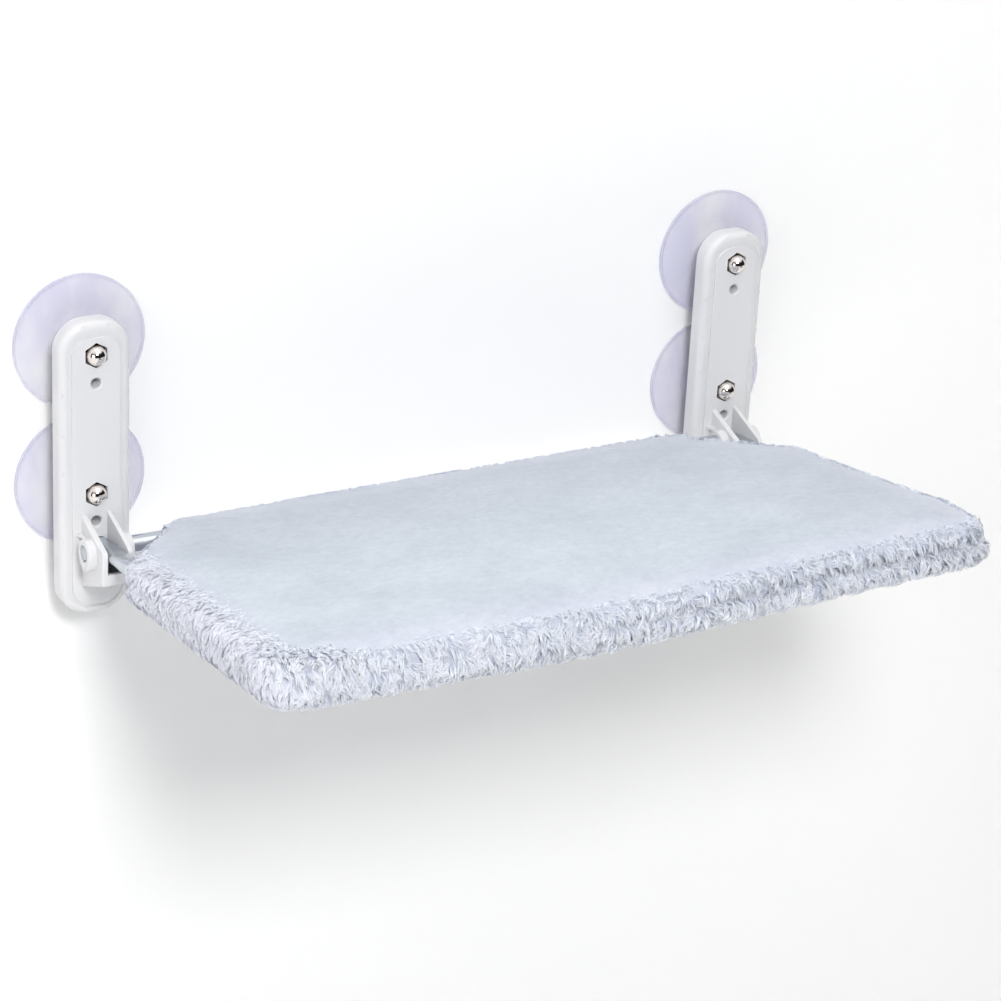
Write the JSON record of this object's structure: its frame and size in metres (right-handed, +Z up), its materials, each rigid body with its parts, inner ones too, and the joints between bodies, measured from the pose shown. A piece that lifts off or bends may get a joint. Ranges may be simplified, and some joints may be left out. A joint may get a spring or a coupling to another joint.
{
  "type": "window mounted cat perch",
  "caption": "Folding cat perch for a window: plush pad on a bent tube frame, hinged to moulded brackets that are held on the glass by suction cups.",
  "frame": {"origin": "on the window glass, at the centre of the four suction cups", "axes": "+X along the window to the right as seen from the room, +Y into the glass, +Z up; the bed is at its resting angle, folded down"},
  "size_m": [0.539, 0.3076, 0.2125],
  "materials": {
    "bracket": "fine grain, pale grey",
    "cup": "clear soft plastic, gloss",
    "nickel": "nickel plated",
    "zinc": "zinc plated",
    "heel": "black, matt",
    "cloth": "woven",
    "foam": "open cell foam",
    "plush": "long soft pile, pale blue grey",
    "zip_tape": "woven tape",
    "zip_metal": "enamel"
  },
  "bodies": {
    "mount": {"bracket_left": "bracket", "bracket_right": "bracket", "suction_cup_upper_left": "cup", "suction_cup_upper_right": "cup", "suction_cup_lower_left": "cup", "suction_cup_lower_right": "cup", "cup_studs": "nickel", "cap_nuts": "nickel", "hinge_bolt_left": "zinc", "hinge_bolt_right": "zinc", "cross_tube": "zinc", "tube_plug_left": "zinc", "tube_plug_right": "zinc"},
    "platform": {"frame_tube": "zinc", "heel_plug_left": "heel", "heel_plug_right": "heel", "support_sling": "cloth", "foam_core": "foam", "cushion_cover": "plush", "cover_zip": "zip_tape"},
    "zip_pull": {"zip_slider": "zip_metal"}
  },
  "joints": [
    {"name": "platform_fold", "type": "hinge", "parent": "mount", "child": "platform", "pos_m": [0, -0.044, -0.0755], "axis": [-1, 0, 0], "range_deg": [0, 80]},
    {"name": "zip_slide", "type": "slide", "parent": "platform", "child": "zip_pull", "axis": [1, 0, 0], "range_m": [0, 0.29]}
  ]
}
